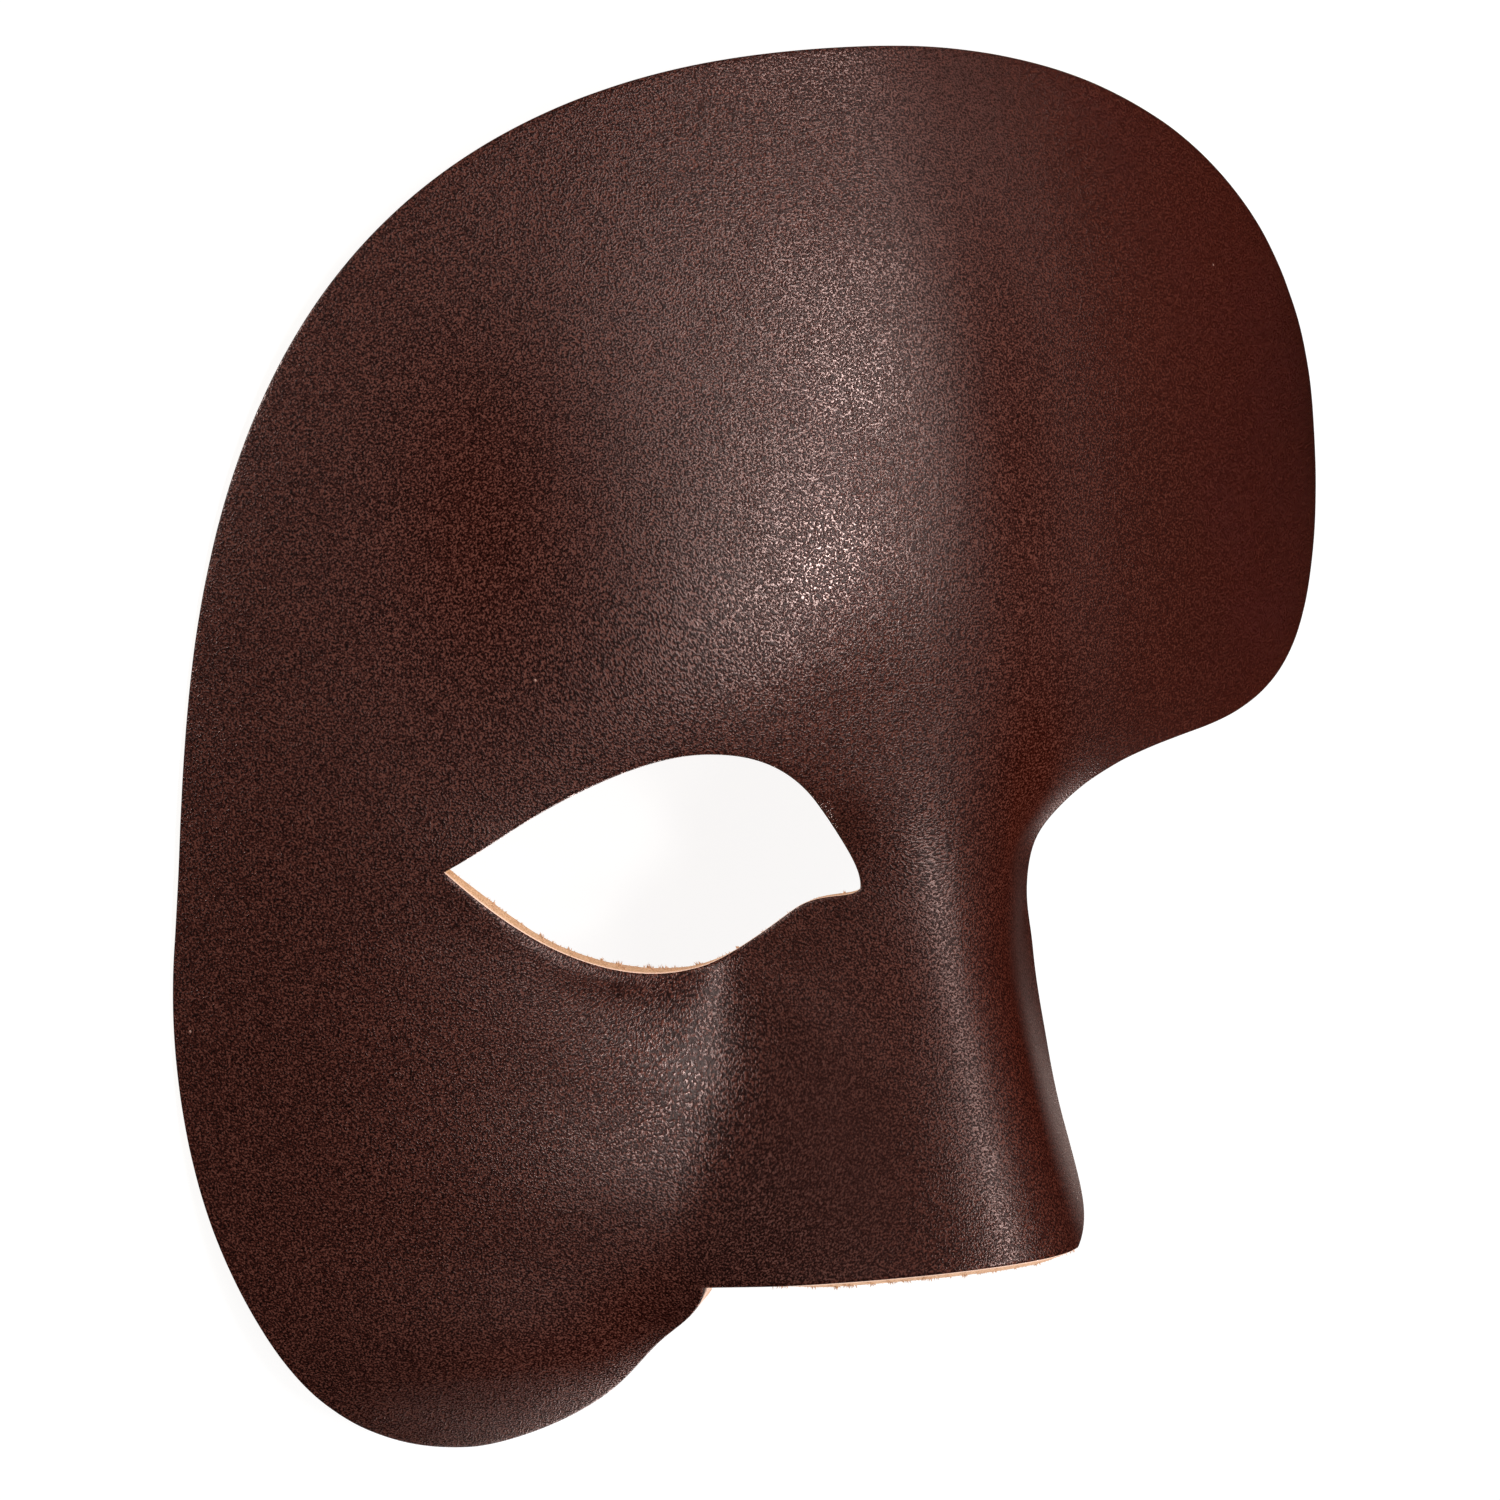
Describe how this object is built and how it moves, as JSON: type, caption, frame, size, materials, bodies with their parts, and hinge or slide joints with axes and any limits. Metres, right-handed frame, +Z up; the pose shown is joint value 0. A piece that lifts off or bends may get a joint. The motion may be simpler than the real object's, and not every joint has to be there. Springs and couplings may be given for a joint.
{
  "type": "half mask",
  "caption": "Asymmetric half mask of moulded leather over the forehead, one eye, one cheek and the nose, lying face up on its rim.",
  "frame": {"origin": "centre of the outline's box on the ground that the rim rests on", "axes": "+X towards the viewer's right, +Y towards the top of the forehead, +Z up, out of the face"},
  "size_m": [0.1616, 0.1758, 0.0672],
  "materials": {
    "leather": "vegetable-tanned leather, dyed dark brown on the pebbled grain side with a satin polish, raw tan at the cut edges and on the flesh side"
  },
  "bodies": {
    "root": {"mask": "leather"}
  },
  "joints": []
}
